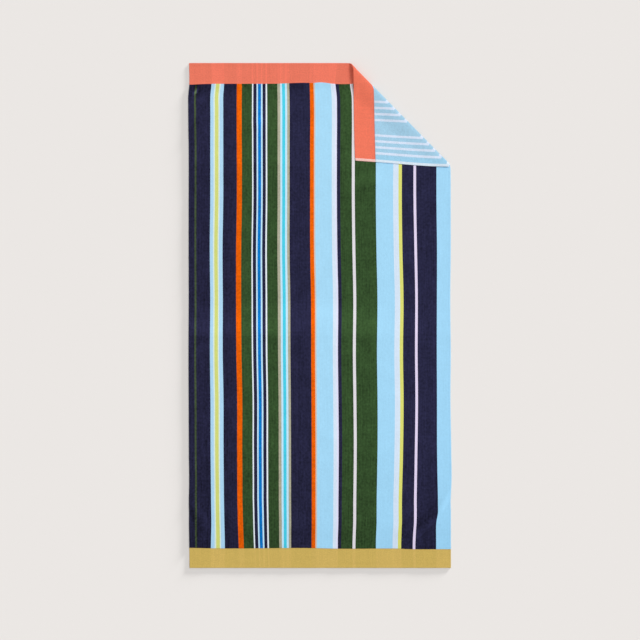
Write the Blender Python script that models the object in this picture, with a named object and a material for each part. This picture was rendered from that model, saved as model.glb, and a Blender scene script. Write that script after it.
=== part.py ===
"""Striped velour beach towel, laid flat on its back with one corner folded over.

The towel is one woven piece: a thick velour field between two thinner, flat-woven
headings, with its edges turned to the back as hems. It is described twice here, first
as flat cloth and then as it lies. In the flat cloth x runs across the towel and y along
it, from the middle, with the coral heading at the far end of +y. The cloth lies on the
plane z = 0, the same way round, and its corner at +x +y is folded over on to its face.
Metres, +Z up.
"""

import bmesh
import bpy
from collections import namedtuple
from math import cos, pi, radians, sin
from mathutils import Vector

# Cloth
WIDTH = 0.903
LENGTH = 1.740
VELOUR = 0.0030
HEADING = 0.0017
CORAL_HEADING = 0.071
MUSTARD_HEADING = 0.068
HEADING_STEP = 0.007
HEM_WIDTH = 0.009
HEM_EXTRA = 0.0005
END_HEM_WIDTH = 0.014

# Folded corner. The fold leaves the floor on one straight line, bulges out as far as a
# second and comes down on the corner's own face from a third. Each line runs from an end
# by the coral heading to an end by the towel's side.
FoldLine = namedtuple("FoldLine", "top side")
FOLD_ON_TOP = 0.3565
FOLD_ON_SIDE = 0.3632
FLOOR_LINE = FoldLine(
    top=Vector((WIDTH / 2 - FOLD_ON_TOP, LENGTH / 2)),
    side=Vector((WIDTH / 2, LENGTH / 2 - FOLD_ON_SIDE)),
)
OUTER_LINE = FoldLine(top=Vector((0.1091, 0.8664)), side=Vector((0.4489, 0.5216)))
OVER_LINE = FoldLine(top=Vector((0.1155, 0.8490)), side=Vector((0.4463, 0.5120)))
CORNER_TIP = Vector((0.1239, 0.5333))
CORNER = Vector((WIDTH / 2, LENGTH / 2))
BEND_CLOTH = 0.022
LOOP_HEIGHT = FoldLine(top=0.0240, side=0.0105)
LAYER_GAP = 0.0015
SETTLE = FoldLine(top=0.088, side=0.040)

# Beside the fold the sides keep to the cut width, and reach their full stretch this far off
SIDES_REACH = 0.055

# How far each side stands out beyond the cut width, by distance from the coral end
Side = namedtuple("Side", "from_top left right")
SIDES = (
    Side(from_top=0.000, left=-0.0020, right=0.0),
    Side(from_top=0.066, left=-0.0028, right=0.0),
    Side(from_top=0.110, left=0.0010, right=0.0),
    Side(from_top=0.160, left=0.0010, right=0.0),
    Side(from_top=0.300, left=-0.0008, right=0.0003),
    Side(from_top=0.644, left=-0.0006, right=0.0006),
    Side(from_top=0.817, left=-0.0008, right=-0.0010),
    Side(from_top=1.000, left=0.0001, right=0.0006),
    Side(from_top=1.161, left=-0.0006, right=-0.0004),
    Side(from_top=1.334, left=-0.0012, right=0.0024),
    Side(from_top=1.450, left=-0.0022, right=0.0030),
    Side(from_top=1.506, left=-0.0014, right=0.0),
    Side(from_top=1.575, left=-0.0015, right=0.0011),
    Side(from_top=1.654, left=-0.0026, right=0.0010),
    Side(from_top=1.740, left=-0.0035, right=0.0012),
)

# Soft ridges where the cloth stands off the floor. The first is the crease of the
# towel's half-length fold in storage, the others are drawn up by the hems and headings.
Ridge = namedtuple("Ridge", "x y length width angle height")
RIDGES = (
    Ridge(x=-0.040, y=-0.015, length=0.600, width=0.150, angle=0, height=0.0030),
    Ridge(x=-0.405, y=0.675, length=0.230, width=0.055, angle=52, height=0.0024),
    Ridge(x=-0.225, y=0.655, length=0.190, width=0.060, angle=56, height=0.0016),
    Ridge(x=0.385, y=-0.690, length=0.290, width=0.060, angle=52, height=0.0028),
    Ridge(x=0.300, y=-0.735, length=0.170, width=0.060, angle=50, height=0.0020),
    Ridge(x=-0.425, y=-0.680, length=0.200, width=0.055, angle=112, height=0.0015),
    Ridge(x=0.170, y=0.455, length=0.130, width=0.065, angle=38, height=0.0022),
)

# Spacing of the mesh: close near the corners, where the ridges are small
FINE = 0.013
COARSE = 0.030
FINE_SIDE = 0.120
FINE_END = 0.300
BEND_STEPS = 10
SETTLE_STEPS = 6
MERGE = 0.002
SLOPE_STEP = 0.0004


def ease(t):
    """Smooth step from 0 to 1."""
    t = min(max(t, 0.0), 1.0)
    return t * t * (3.0 - 2.0 * t)


def mix(a, b, t):
    return a + (b - a) * t


def side_value(column, from_top):
    """Value of one column of SIDES, eased from row to row."""
    for row, after in zip(SIDES, SIDES[1:]):
        if from_top <= after.from_top:
            t = (from_top - row.from_top) / (after.from_top - row.from_top)
            return mix(getattr(row, column), getattr(after, column), ease(t))
    return getattr(SIDES[-1], column)


def thickness(x, y):
    """Thickness of the cloth: headings thinner than the velour, hems a little thicker."""
    to_top = LENGTH / 2 - y
    to_bottom = LENGTH / 2 + y
    to_heading = min(to_top - CORAL_HEADING, to_bottom - MUSTARD_HEADING)
    to_side = WIDTH / 2 - abs(x)
    base = mix(HEADING, VELOUR, ease(to_heading / HEADING_STEP))
    side_hem = 1.0 - ease(to_side / HEM_WIDTH)
    end_hem = 1.0 - ease(min(to_top, to_bottom) / END_HEM_WIDTH)
    return base + HEM_EXTRA * max(side_hem, end_hem)


def fold_direction():
    return (FLOOR_LINE.side - FLOOR_LINE.top).normalized()


def fold_normal():
    """Points across the fold, out towards the corner."""
    along = fold_direction()
    return Vector((-along.y, along.x))


def beyond_fold(x, y):
    """Cloth distance past the line where the fold leaves the floor."""
    return (Vector((x, y)) - FLOOR_LINE.top).dot(fold_normal())


def lift(x, y):
    """Height of the cloth's back above the floor, from the ridges near the point."""
    height = 0.0
    for ridge in RIDGES:
        turn = radians(ridge.angle)
        dx = x - ridge.x
        dy = y - ridge.y
        along = (dx * cos(turn) + dy * sin(turn)) / (ridge.length / 2)
        across = (dy * cos(turn) - dx * sin(turn)) / (ridge.width / 2)
        height += ridge.height * (1.0 - ease(abs(along))) * (1.0 - ease(abs(across)))
    return height


def line_ends(beyond):
    """Ends, on the cloth's two edges, of the line this far past the fold's start."""
    across = fold_normal()
    top = Vector((FLOOR_LINE.top.x + beyond / across.x, LENGTH / 2))
    side = Vector((WIDTH / 2, FLOOR_LINE.side.y + beyond / across.y))
    return top, side


def along_fold(x, y, beyond):
    """Place along the fold, from 0 at the top edge to 1 at the side."""
    top, side = line_ends(min(beyond, BEND_CLOTH))
    along = fold_direction()
    start = top.dot(along)
    return (Vector((x, y)).dot(along) - start) / (side.dot(along) - start)


def bend_point(x, y, beyond):
    """A point of the bend: from the floor, out round the loop and over."""
    t = along_fold(x, y, beyond)
    turn = pi * beyond / BEND_CLOTH
    floor = FLOOR_LINE.top.lerp(FLOOR_LINE.side, t)
    outer = OUTER_LINE.top.lerp(OUTER_LINE.side, t)
    over = OVER_LINE.top.lerp(OVER_LINE.side, t)
    bulge = outer - (floor + over) / 2
    place = floor.lerp(over, turn / pi) + bulge * sin(turn)
    height = mix(LOOP_HEIGHT.top, LOOP_HEIGHT.side, t) * (1.0 - cos(turn)) / 2
    return Vector((place.x, place.y, height))


def flap_point(x, y, beyond):
    """A point of the folded corner, which settles on to the face below."""
    top, side = line_ends(BEND_CLOTH)
    from_side = (CORNER.x - x) / (CORNER.x - top.x)
    from_top = (CORNER.y - y) / (CORNER.y - side.y)
    place = CORNER_TIP + (OVER_LINE.top - CORNER_TIP) * from_side + (OVER_LINE.side - CORNER_TIP) * from_top
    t = min(max(along_fold(x, y, beyond), 0.0), 1.0)
    rest = VELOUR + LAYER_GAP + VELOUR
    loop = mix(LOOP_HEIGHT.top, LOOP_HEIGHT.side, t)
    settle = mix(SETTLE.top, SETTLE.side, t)
    height = mix(loop, rest, ease((beyond - BEND_CLOTH) / settle))
    return Vector((place.x, place.y, height))


def back_point(x, y):
    """Where a point of the cloth's back lies."""
    beyond = beyond_fold(x, y)
    if beyond > BEND_CLOTH:
        return flap_point(x, y, beyond)
    if beyond > 0.0:
        return bend_point(x, y, beyond)
    from_top = LENGTH / 2 - y
    across = x / WIDTH + 0.5
    near_fold = ease(-beyond / SIDES_REACH)
    out = mix(-side_value("left", from_top), side_value("right", from_top), across)
    return Vector((x + out * near_fold, y, lift(x, y)))


def cloth_normal(x, y):
    """Unit normal of the lying cloth, on its face side."""
    across = back_point(x + SLOPE_STEP, y) - back_point(x - SLOPE_STEP, y)
    along = back_point(x, y + SLOPE_STEP) - back_point(x, y - SLOPE_STEP)
    return across.cross(along).normalized()


def lying_point(x, y, level):
    """A point of the lying towel, with level 0 on its back and 1 on its face."""
    return back_point(x, y) + cloth_normal(x, y) * thickness(x, y) * level


def spaced(start, stop, spacing):
    """Even stations from start to stop, without the two ends."""
    count = max(round(abs(stop - start) / spacing), 1)
    return [mix(start, stop, i / count) for i in range(1, count)]


def across_stations():
    """Columns of the mesh: the hems' inner lines, then close and wide spacing."""
    hem = WIDTH / 2 - HEM_WIDTH
    fine = WIDTH / 2 - FINE_SIDE
    right = spaced(fine, hem, FINE)
    return [-hem, -fine, fine, hem] + spaced(-fine, fine, COARSE) + right + [-x for x in right]


def along_stations():
    """Rows of the mesh: end hems, the headings' steps, then close and wide spacing."""
    top = LENGTH / 2
    rows = []
    for end, heading in ((1, CORAL_HEADING), (-1, MUSTARD_HEADING)):
        step = top - heading
        fine = top - FINE_END
        own = [top - END_HEM_WIDTH, step, step - HEADING_STEP, fine]
        own += spaced(fine, step - HEADING_STEP, FINE)
        own += spaced(step, top - END_HEM_WIDTH, COARSE)
        rows += [end * y for y in own]
    return rows + spaced(-fine, fine, COARSE)


def fold_stations():
    """Lines along the fold, by their cloth distance past its start."""
    bend = [BEND_CLOTH * i / BEND_STEPS for i in range(BEND_STEPS + 1)]
    settle = [BEND_CLOTH + SETTLE.top * i / SETTLE_STEPS for i in range(1, SETTLE_STEPS + 1)]
    return bend + settle


def cut(bm, place, normal):
    bmesh.ops.bisect_plane(
        bm,
        geom=bm.verts[:] + bm.edges[:] + bm.faces[:],
        dist=0.00001,
        plane_co=place,
        plane_no=normal,
    )


def flat_cloth():
    """The flat cloth as a closed block one unit high, with its back at z = 0."""
    bm = bmesh.new()
    edges = ((-1, -1), (1, -1), (1, 1), (-1, 1))
    bm.faces.new([bm.verts.new((x * WIDTH / 2, y * LENGTH / 2, 0.0)) for x, y in edges])
    for x in across_stations():
        cut(bm, (x, 0.0, 0.0), (1.0, 0.0, 0.0))
    for y in along_stations():
        cut(bm, (0.0, y, 0.0), (0.0, 1.0, 0.0))
    across = fold_normal()
    for beyond in fold_stations():
        place = FLOOR_LINE.top + across * beyond
        cut(bm, place.to_3d(), across.to_3d())
    bmesh.ops.remove_doubles(bm, verts=bm.verts[:], dist=MERGE)
    face_side = bmesh.ops.extrude_face_region(bm, geom=bm.faces[:], use_keep_orig=True)
    for vert in face_side["geom"]:
        if isinstance(vert, bmesh.types.BMVert):
            vert.co.z = 1.0
    bmesh.ops.recalc_face_normals(bm, faces=bm.faces[:])
    return bm


def cloth_part(face):
    """Which of the cloth's weaves a face of the flat block shows."""
    middle = face.calc_center_median()
    if middle.y > LENGTH / 2 - CORAL_HEADING:
        return "coral_flat_weave"
    if middle.y < MUSTARD_HEADING - LENGTH / 2:
        return "mustard_flat_weave"
    if middle.z < 0.5:
        return "blue_terry_back"
    return "navy_velour_face"


def weave_material(name, color, roughness):
    material = bpy.data.materials.new(name)
    material.use_nodes = True
    shader = material.node_tree.nodes["Principled BSDF"]
    shader.inputs["Base Color"].default_value = (*color, 1.0)
    shader.inputs["Roughness"].default_value = roughness
    shader.inputs["Metallic"].default_value = 0.0
    material.diffuse_color = (*color, 1.0)
    return material


def weave_materials():
    return (
        weave_material("navy_velour_face", (0.022, 0.023, 0.056), 0.95),
        weave_material("blue_terry_back", (0.376, 0.644, 0.791), 0.95),
        weave_material("coral_flat_weave", (0.838, 0.191, 0.122), 0.85),
        weave_material("mustard_flat_weave", (0.558, 0.413, 0.095), 0.85),
    )


def towel():
    bm = flat_cloth()
    materials = weave_materials()
    slots = {material.name: index for index, material in enumerate(materials)}
    for face in bm.faces:
        face.material_index = slots[cloth_part(face)]
    for vert in bm.verts:
        vert.co = lying_point(*vert.co)
    mesh = bpy.data.meshes.new("towel")
    bm.to_mesh(mesh)
    bm.free()
    for material in materials:
        mesh.materials.append(material)
    mesh.shade_smooth()
    mesh.set_sharp_from_angle(angle=radians(40))
    piece = bpy.data.objects.new("towel", mesh)
    bpy.context.collection.objects.link(piece)
    return piece


for old in list(bpy.data.objects):
    bpy.data.objects.remove(old, do_unlink=True)
towel()
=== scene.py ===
"""Striped velour beach towel, laid flat on a pale floor with one corner folded over.

The cloth is described as it is woven, flat, with x across it and y along it from its
middle, and then laid: the fold, the creases and the drift of the stripes move its points
to where they lie. Metres, +Z up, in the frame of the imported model.
"""

from collections import namedtuple
from math import cos, pi, radians, sin

import bmesh
import bpy
import numpy as np
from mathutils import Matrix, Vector, noise


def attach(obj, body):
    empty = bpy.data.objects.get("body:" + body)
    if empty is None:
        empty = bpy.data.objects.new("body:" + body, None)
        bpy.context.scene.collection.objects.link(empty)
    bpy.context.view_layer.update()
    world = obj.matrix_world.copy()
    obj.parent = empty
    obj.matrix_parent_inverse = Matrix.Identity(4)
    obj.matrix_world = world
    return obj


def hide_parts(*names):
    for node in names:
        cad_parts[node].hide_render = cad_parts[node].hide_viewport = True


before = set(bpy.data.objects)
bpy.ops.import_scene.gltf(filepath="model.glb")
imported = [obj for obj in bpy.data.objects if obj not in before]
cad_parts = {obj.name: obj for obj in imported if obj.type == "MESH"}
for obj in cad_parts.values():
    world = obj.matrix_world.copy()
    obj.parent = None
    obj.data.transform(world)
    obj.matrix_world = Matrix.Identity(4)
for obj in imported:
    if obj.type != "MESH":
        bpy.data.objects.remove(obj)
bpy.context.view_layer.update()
bpy.ops.object.select_all(action="DESELECT")


# Towel cloth. The real towel is one length of cotton, woven with a looped pile on both
# sides. The loops of the face are shorn to velour and those of the back are left as
# terry. Its two ends are woven flat, and all four edges are turned to the back as hems.

WIDTH = 0.903
LENGTH = 1.740

# Thickness through the pile and the flat ends, how far the ends run in, and how the pile's
# edge and the cloth's own are rounded
VELOUR = 0.0030
HEADING = 0.0017
CORAL_HEADING = 0.071
MUSTARD_HEADING = 0.068
PILE_EDGE = 0.0040
EDGE_ROUND = 0.9

# Hems: how far they are turned in, how much they add and how far in that fades, how much
# deeper the back lies inside them, and their seams
SIDE_HEM = 0.0094
END_HEM = 0.0140
HEM_EXTRA = 0.0005
SIDE_HEM_FADE = 0.0105
END_HEM_FADE = 0.0160
TERRY_INSET = 0.0004
HEADING_INSET = 0.0008
INSET_STEP = 0.0009
SIDE_SEAM = 0.0076
END_SEAM = 0.0120
SEAM_GROOVE = 0.0004
SEAM_GROOVE_WIDTH = 0.0013

# Folded corner: the cloth leaves the floor on one line, bulges out to a second and comes
# down on the face from a third. Its lines and sizes are given at both ends of the fold,
# at the coral end and at the towel's side.
FoldEnds = namedtuple("FoldEnds", "top side")
FLOOR_LINE = FoldEnds(
    top=np.array((WIDTH / 2 - 0.3565, LENGTH / 2)),
    side=np.array((WIDTH / 2, LENGTH / 2 - 0.3632)),
)
OUTER_LINE = FoldEnds(top=np.array((0.1091, 0.8664)), side=np.array((0.4489, 0.5216)))
OVER_LINE = FoldEnds(top=np.array((0.1155, 0.8490)), side=np.array((0.4463, 0.5120)))
FLOOR_RUN = FLOOR_LINE.side - FLOOR_LINE.top
FOLD_ALONG = FLOOR_RUN / np.linalg.norm(FLOOR_RUN)
FOLD_ACROSS = np.array((-FOLD_ALONG[1], FOLD_ALONG[0]))
CORNER = np.array((WIDTH / 2, LENGTH / 2))
CORNER_TIP = np.array((0.1239, 0.5333))
BEND_CLOTH = 0.022
LOOP_HEIGHT = FoldEnds(top=0.0240, side=0.0105)
LAYER_GAP = 0.0006
SETTLE = FoldEnds(top=0.088, side=0.040)

# How near the fold the cloth's drift, headings and relief die out, where it is pressed
# smooth under the corner, and how the corner's two edges bow
DRIFT_REACH = 0.035
HEADING_REACH = 0.020
RELIEF_REACH = 0.055
UNDER_CORNER = np.array((0.09, 0.49))
UNDER_CORNER_FADE = 0.03
CORAL_EDGE_BOW = 0.0020
CORAL_EDGE_BOW_REACH = 0.120
SIDE_EDGE_BOW = 0.0025
SIDE_EDGE_BOW_REACH = 0.070

# Sideways drift of the warp as the towel lies. THREADS is how far some threads are from the
# left side, and each row is how far they have drifted at that distance from the coral end.
Drift = namedtuple(
    "Drift",
    "from_top left pale_blue lime orange late_orange blush yellow pink sky right",
)
THREADS = Drift(None, 0.0, 0.0741, 0.0957, 0.1631, 0.4199, 0.5657, 0.7390, 0.7788, 0.8536, WIDTH)
DRIFTS = (
    Drift(0.000, 0.0020, 0.0030, 0.0041, 0.0020, -0.0030, -0.0010, -0.0020, -0.0020, 0.0000, 0.0000),
    Drift(0.066, 0.0028, 0.0046, 0.0057, 0.0028, -0.0036, -0.0100, -0.0020, -0.0020, 0.0000, 0.0000),
    Drift(0.115, -0.0010, 0.0004, 0.0011, 0.0024, -0.0020, -0.0040, -0.0030, -0.0030, 0.0003, 0.0000),
    Drift(0.160, -0.0010, 0.0003, 0.0013, 0.0021, -0.0014, -0.0031, -0.0034, -0.0034, 0.0003, 0.0000),
    Drift(0.300, 0.0008, 0.0001, 0.0012, 0.0026, -0.0017, -0.0034, -0.0038, -0.0038, 0.0003, 0.0003),
    Drift(0.472, 0.0006, 0.0000, 0.0011, 0.0028, -0.0017, -0.0034, -0.0045, -0.0038, 0.0003, 0.0004),
    Drift(0.644, 0.0006, -0.0017, -0.0014, 0.0003, -0.0014, -0.0014, -0.0025, -0.0007, 0.0021, 0.0006),
    Drift(0.817, 0.0008, 0.0000, 0.0000, 0.0003, 0.0017, 0.0017, 0.0014, 0.0021, 0.0017, -0.0010),
    Drift(1.000, -0.0001, -0.0012, -0.0008, 0.0012, 0.0021, 0.0002, -0.0004, 0.0014, 0.0014, 0.0006),
    Drift(1.161, 0.0006, 0.0007, 0.0018, 0.0041, 0.0031, 0.0021, 0.0016, 0.0028, 0.0021, -0.0004),
    Drift(1.334, 0.0012, 0.0010, 0.0020, 0.0038, 0.0039, 0.0034, -0.0001, 0.0007, 0.0024, 0.0024),
    Drift(1.450, 0.0022, 0.0022, 0.0031, 0.0045, 0.0040, 0.0024, -0.0028, -0.0012, 0.0044, 0.0030),
    Drift(1.506, 0.0014, 0.0028, 0.0037, 0.0046, 0.0040, 0.0017, -0.0041, -0.0021, 0.0055, 0.0000),
    Drift(1.548, 0.0018, 0.0034, 0.0044, 0.0057, 0.0040, 0.0015, -0.0042, -0.0019, 0.0050, 0.0011),
    Drift(1.575, 0.0015, 0.0038, 0.0048, 0.0063, 0.0041, 0.0014, -0.0039, -0.0021, 0.0007, 0.0011),
    Drift(1.654, 0.0026, 0.0022, 0.0062, 0.0090, 0.0033, -0.0010, -0.0068, -0.0066, -0.0007, 0.0010),
    Drift(1.740, 0.0035, 0.0000, 0.0053, 0.0130, 0.0040, -0.0010, -0.0044, -0.0040, -0.0010, 0.0012),
)

# How wide each heading lies, by distance from the left side
HeadingWidth = namedtuple("HeadingWidth", "from_left width")
CORAL_WIDTHS = (
    HeadingWidth(from_left=0.000, width=0.0745),
    HeadingWidth(from_left=0.056, width=0.0722),
    HeadingWidth(from_left=0.110, width=0.0715),
    HeadingWidth(from_left=0.250, width=0.0715),
    HeadingWidth(from_left=0.300, width=0.0712),
    HeadingWidth(from_left=0.360, width=0.0691),
    HeadingWidth(from_left=0.400, width=0.0681),
    HeadingWidth(from_left=0.440, width=0.0681),
    HeadingWidth(from_left=0.460, width=0.0665),
    HeadingWidth(from_left=0.480, width=0.0681),
    HeadingWidth(from_left=0.500, width=0.0709),
    HeadingWidth(from_left=0.543, width=0.0726),
    HeadingWidth(from_left=0.620, width=0.0683),
    HeadingWidth(from_left=0.903, width=0.0683),
)
MUSTARD_WIDTHS = (
    HeadingWidth(from_left=0.000, width=0.0694),
    HeadingWidth(from_left=0.060, width=0.0680),
    HeadingWidth(from_left=0.450, width=0.0680),
    HeadingWidth(from_left=0.520, width=0.0663),
    HeadingWidth(from_left=0.580, width=0.0663),
    HeadingWidth(from_left=0.660, width=0.0669),
    HeadingWidth(from_left=0.720, width=0.0669),
    HeadingWidth(from_left=0.770, width=0.0649),
    HeadingWidth(from_left=0.903, width=0.0649),
)
WIDTHS_FADE = 0.060

# Soft ridges where the cloth stands off the floor: the crease of the half-length fold in
# storage, long pulls from the hems and headings, and shorter creases on them
Ridge = namedtuple("Ridge", "x y length width angle height")
RIDGES = (
    Ridge(x=-0.040, y=-0.015, length=0.600, width=0.150, angle=0, height=0.0030),
    Ridge(x=-0.405, y=0.675, length=0.230, width=0.055, angle=52, height=0.0024),
    Ridge(x=-0.225, y=0.655, length=0.190, width=0.060, angle=56, height=0.0016),
    Ridge(x=0.385, y=-0.690, length=0.290, width=0.060, angle=52, height=0.0028),
    Ridge(x=0.300, y=-0.735, length=0.170, width=0.060, angle=50, height=0.0020),
    Ridge(x=-0.425, y=-0.680, length=0.200, width=0.055, angle=112, height=0.0015),
    Ridge(x=0.170, y=0.455, length=0.130, width=0.065, angle=38, height=0.0022),
    Ridge(x=-0.422, y=0.729, length=0.075, width=0.028, angle=50, height=0.0014),
    Ridge(x=-0.412, y=0.674, length=0.090, width=0.030, angle=50, height=0.0012),
    Ridge(x=-0.426, y=0.605, length=0.070, width=0.028, angle=50, height=0.0009),
    Ridge(x=-0.240, y=0.650, length=0.110, width=0.030, angle=55, height=0.0009),
    Ridge(x=-0.215, y=0.660, length=0.110, width=0.030, angle=55, height=0.0009),
    Ridge(x=-0.147, y=0.702, length=0.080, width=0.030, angle=55, height=0.0011),
    Ridge(x=0.388, y=-0.688, length=0.200, width=0.045, angle=52, height=0.0012),
    Ridge(x=0.430, y=-0.640, length=0.150, width=0.035, angle=55, height=0.0016),
    Ridge(x=0.295, y=-0.740, length=0.110, width=0.035, angle=50, height=0.0010),
    Ridge(x=-0.436, y=-0.678, length=0.150, width=0.036, angle=115, height=0.0004),
)

# Puckers that the flat headings draw up in the pile beside them: they begin just inside
# the heading, soon reach their height and die out as they lean away
PUCKER_HEIGHT = 0.0009
PUCKER_WAVE = 0.030
PUCKER_LEAN = 0.7
PUCKER_BEGIN = 0.008
PUCKER_RISE = 0.010
PUCKER_REACH = 0.045
PUCKER_LEVEL = 0.25
PUCKER_SWING = 1.5
PUCKER_SEED = (9.3, 4.4)

# Slow unevenness of the whole cloth, coarse and fine
Unevenness = namedtuple("Unevenness", "size height seed")
UNEVEN = (
    Unevenness(size=0.070, height=0.00045, seed=3.1),
    Unevenness(size=0.028, height=0.00022, seed=7.7),
)

# Strips of painted light and shade on the pile, even in their middle: painted sheen on the crest of
# the half-length fold,
# # on the creases and over the upper part of the pile, painted shade beside creases and under the
# coral heading, and
# # painted shade and light that darken the mustard end and the left side and brighten the right side.
# Each gives how much
# # on dark yarns, and how much on pale ones
PaintedStrip = namedtuple("PaintedStrip", "x y length width angle dark pale")
PAINTED_LIGHT_STRIPS = (
    PaintedStrip(x=-0.120, y=-0.014, length=0.900, width=0.110, angle=0, dark=0.18, pale=0.008),
    PaintedStrip(x=-0.120, y=-0.043, length=0.900, width=0.074, angle=0, dark=0.20, pale=0.006),
    PaintedStrip(x=0.360, y=-0.024, length=0.230, width=0.090, angle=0, dark=0.12, pale=0.010),
    PaintedStrip(x=-0.150, y=0.640, length=0.900, width=0.330, angle=0, dark=0.11, pale=0.005),
    PaintedStrip(x=-0.425, y=0.735, length=0.080, width=0.045, angle=50, dark=0.16, pale=0.020),
    PaintedStrip(x=-0.160, y=0.690, length=0.120, width=0.090, angle=50, dark=0.14, pale=0.010),
    PaintedStrip(x=0.165, y=0.467, length=0.120, width=0.060, angle=20, dark=0.16, pale=0.010),
    PaintedStrip(x=0.310, y=0.240, length=0.150, width=0.060, angle=80, dark=0.17, pale=0.005),
    PaintedStrip(x=-0.410, y=-0.120, length=0.090, width=0.040, angle=50, dark=0.14, pale=0.010),
    PaintedStrip(x=0.000, y=-0.860, length=2.800, width=0.900, angle=0, dark=-0.10, pale=-0.020),
    PaintedStrip(x=0.000, y=-0.850, length=2.800, width=0.300, angle=0, dark=-0.14, pale=-0.015),
    PaintedStrip(x=0.000, y=0.800, length=2.800, width=0.050, angle=0, dark=-0.12, pale=-0.020),
    PaintedStrip(x=0.382, y=-0.682, length=0.150, width=0.044, angle=50, dark=-0.20, pale=-0.020),
    PaintedStrip(x=0.362, y=-0.734, length=0.110, width=0.026, angle=46, dark=0.28, pale=0.010),
    PaintedStrip(x=0.432, y=-0.640, length=0.110, width=0.022, angle=56, dark=0.14, pale=0.020),
    PaintedStrip(x=-0.429, y=0.792, length=0.022, width=0.012, angle=90, dark=-0.40, pale=0.000),
    PaintedStrip(x=-0.427, y=0.772, length=0.026, width=0.010, angle=65, dark=1.60, pale=0.100),
    PaintedStrip(x=-0.419, y=0.766, length=0.030, width=0.012, angle=65, dark=-0.50, pale=-0.050),
    PaintedStrip(x=-0.405, y=-0.625, length=0.140, width=0.060, angle=90, dark=-0.08, pale=0.000),
    PaintedStrip(x=0.305, y=-0.640, length=0.150, width=0.056, angle=90, dark=0.12, pale=0.000),
    PaintedStrip(x=-0.420, y=0.000, length=2.600, width=0.280, angle=90, dark=-0.10, pale=0.000),
    PaintedStrip(x=0.370, y=0.000, length=1.600, width=0.420, angle=90, dark=0.10, pale=0.000),
)
EVEN_MIDDLE = 0.6

# Pile on slopes that face the light side is painted lighter too, a painted highlight over the real
# shading of those
# # slopes, and the pale yarns are painted deeper and darker in colour towards the right side and the
# mustard end, as
# # painted shade
LIGHT_SIDE = radians(45)
PAINTED_SLOPE_LIGHT = 3.2
PAINTED_PALE_SLOPE_LIGHT = 0.2
PAINTED_DEEPER_TO_RIGHT = 0.13
PAINTED_DEEPER_TO_BOTTOM = 0.16
PAINTED_LIGHT_STOP = -0.010

# Columns and rows of the mesh, by distance from its edges: close at the hems and headings,
# then evenly spaced. Cuts along the fold let the cloth bend there and settle.
SPACING = 0.0067
EDGE_STATIONS = (0.0, 0.0003, 0.0008, 0.0016, 0.0030)
SIDE_STATIONS = (0.0055, 0.0067, 0.0076, 0.0085, 0.0094, 0.0103, 0.0130)
END_STATIONS = (0.0065, 0.0102, 0.0111, 0.0120, 0.0129, 0.0140, 0.0149, 0.0190)
HEADING_STATIONS = (-0.0030, 0.0, 0.0004, 0.0012, 0.0024, 0.0040)
FOLD_STEPS = 16
SETTLE_STEPS = 8
NEAR_CUT = 0.012
SNAP = 0.0004
SLOPE_STEP = 0.0004


def ease(t):
    """Smooth step from 0 to 1."""
    t = np.clip(t, 0.0, 1.0)
    return t * t * (3.0 - 2.0 * t)


def mix(a, b, t):
    return a + (b - a) * t


def smooth_curve(at, places, values):
    """A smooth curve through the values at those places, read at others."""
    places = np.array(places, float)
    values = np.array(values, float)
    slopes = np.gradient(values, places)
    at = np.clip(at, places[0], places[-1])
    i = np.clip(np.searchsorted(places, at) - 1, 0, len(places) - 2)
    span = places[i + 1] - places[i]
    t = (at - places[i]) / span
    leaving = values[i] * (1 + 2 * t) + slopes[i] * span * t
    arriving = values[i + 1] * (3 - 2 * t) - slopes[i + 1] * span * (1 - t)
    return leaving * (1 - t) ** 2 + arriving * t**2


def to_side(flat):
    return WIDTH / 2 - abs(flat[:, 0])


def to_end(flat):
    return LENGTH / 2 - abs(flat[:, 1])


def past_heading(flat):
    """Distance from the heading at the nearer end, below 0 on it."""
    return to_end(flat) - np.where(flat[:, 1] > 0, CORAL_HEADING, MUSTARD_HEADING)


def beyond_fold(flat):
    """Cloth distance past the line where the fold leaves the floor."""
    return (flat - FLOOR_LINE.top) @ FOLD_ACROSS


def warp_drift(flat):
    """How far the cloth has drifted sideways, eased from each thread to the next."""
    from_left = flat[:, 0] + WIDTH / 2
    from_top = LENGTH / 2 - flat[:, 1]
    rows = [row.from_top for row in DRIFTS]
    drift = np.zeros(len(flat))
    for i in range(1, len(THREADS)):
        share = np.ones(len(flat))
        if i > 1:
            share *= ease((from_left - THREADS[i - 1]) / (THREADS[i] - THREADS[i - 1]))
        if i < len(THREADS) - 1:
            share *= 1 - ease((from_left - THREADS[i]) / (THREADS[i + 1] - THREADS[i]))
        drift += share * smooth_curve(from_top, rows, [row[i] for row in DRIFTS])
    return drift


def heading_shift(flat):
    """How far the cloth by a heading is drawn towards that end."""
    from_left = flat[:, 0] + WIDTH / 2
    shift = np.zeros(len(flat))
    headings = (
        (1, CORAL_HEADING, CORAL_WIDTHS),
        (-1, MUSTARD_HEADING, MUSTARD_WIDTHS),
    )
    for end, heading, widths in headings:
        from_end = LENGTH / 2 - end * flat[:, 1]
        lies = smooth_curve(from_left, [w.from_left for w in widths], [w.width for w in widths])
        fades = 1 - ease((from_end - heading) / WIDTHS_FADE)
        shift += end * (heading - lies) * ease(from_end / heading) * fades
    return shift


def soft_strip(flat, strip, even=0.0):
    """1 in the middle of a ridge or a strip of painted light and shade, held over its even part, and 0
    outside.
    """
    turn = radians(strip.angle)
    dx = flat[:, 0] - strip.x
    dy = flat[:, 1] - strip.y
    along = abs(dx * cos(turn) + dy * sin(turn)) / (strip.length / 2)
    across = abs(dy * cos(turn) - dx * sin(turn)) / (strip.width / 2)
    return (1 - ease((along - even) / (1 - even))) * (1 - ease((across - even) / (1 - even)))


def creases(flat):
    """Height of the cloth's back above the floor, from the ridges near each point."""
    return sum(ridge.height * soft_strip(flat, ridge) for ridge in RIDGES)


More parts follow.
